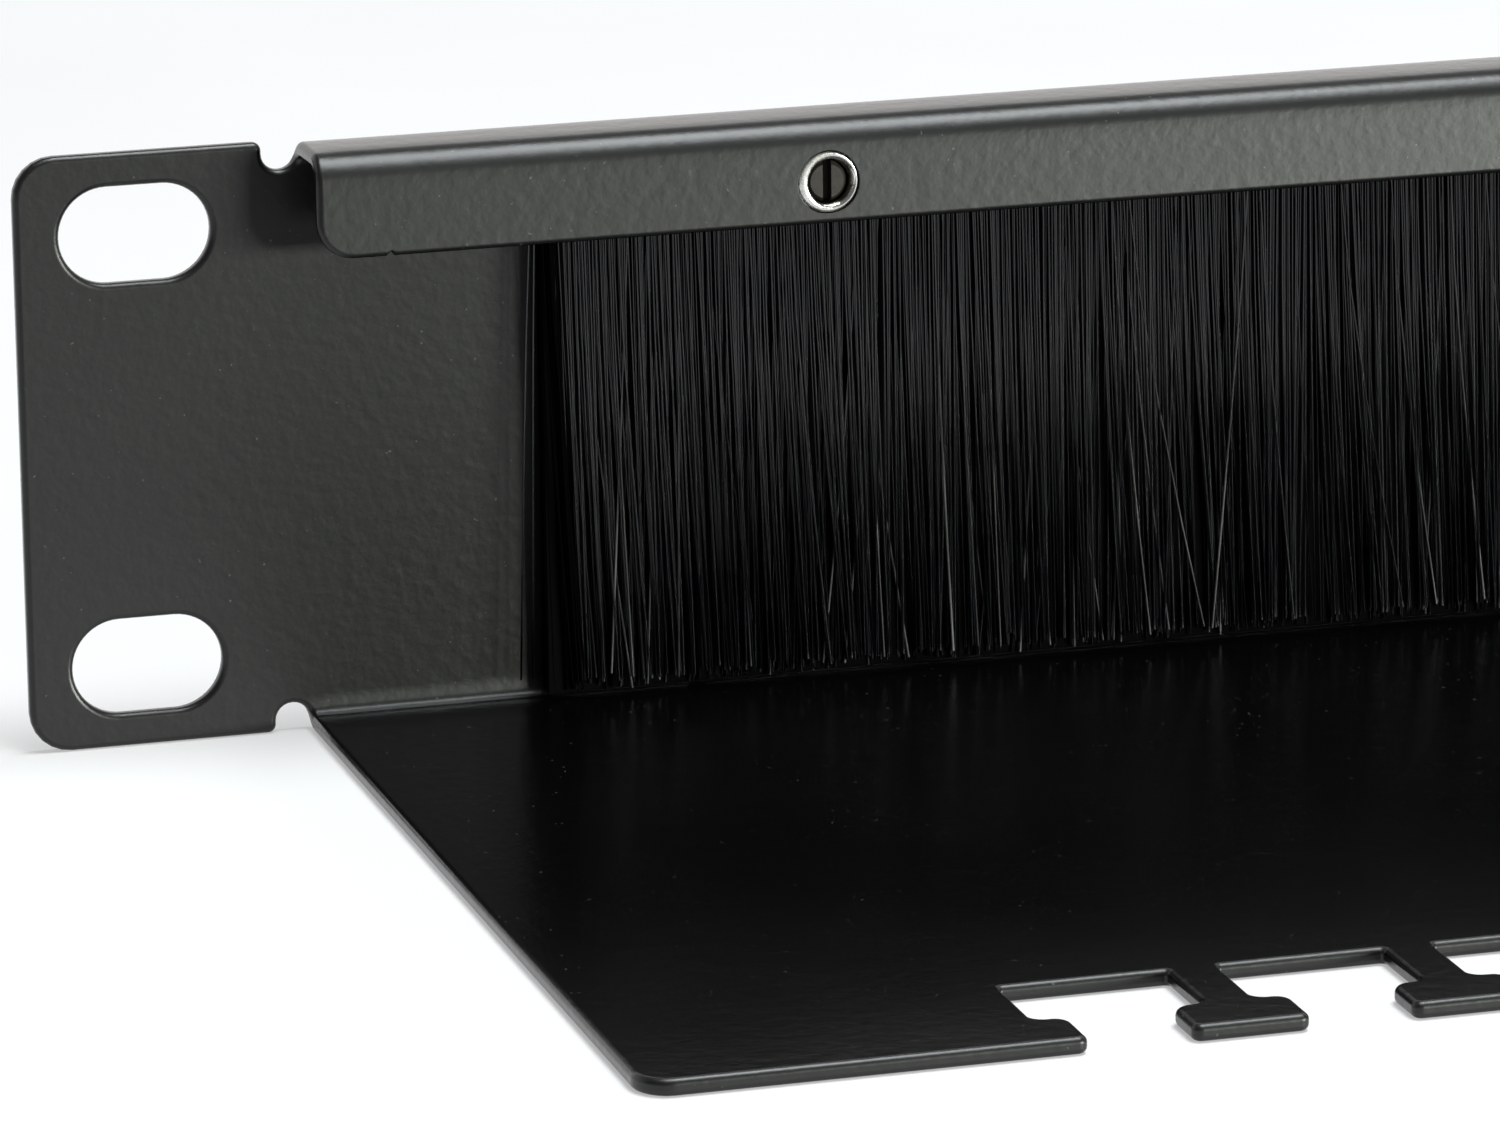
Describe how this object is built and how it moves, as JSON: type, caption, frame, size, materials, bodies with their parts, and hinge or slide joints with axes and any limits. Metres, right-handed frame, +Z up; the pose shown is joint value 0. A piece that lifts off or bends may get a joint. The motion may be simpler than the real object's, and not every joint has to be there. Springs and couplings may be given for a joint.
{
  "type": "rack brush strip panel",
  "caption": "One-unit rack panel folded from steel sheet, with a strip brush over its cable window and a deep shelf edged with T-shaped lugs for cable ties.",
  "frame": {"origin": "middle of the four mounting slots, on the ears' mounting face", "axes": "+X along the panel, +Z up, -Y toward the shelf and the rack posts"},
  "size_m": [0.4826, 0.0901, 0.0436],
  "materials": {
    "powder_coat": "fine orange-peel black powder coat, satin",
    "channel_steel": "galvanised strip, folded",
    "wire_steel": "drawn wire",
    "bristle_nylon": "black filament with a soft sheen",
    "zinc_plate": "bright zinc, turned",
    "black_oxide": "black oxide, slotted"
  },
  "bodies": {
    "root": {"panel": "powder_coat", "brush_channel": "channel_steel", "core_wire": "wire_steel", "bristles": "bristle_nylon", "clinch_nut_1": "zinc_plate", "clinch_nut_2": "zinc_plate", "clinch_nut_3": "zinc_plate", "clinch_nut_4": "zinc_plate", "clinch_nut_5": "zinc_plate", "grub_screw_1": "black_oxide", "grub_screw_2": "black_oxide", "grub_screw_3": "black_oxide", "grub_screw_4": "black_oxide", "grub_screw_5": "black_oxide"}
  },
  "joints": []
}
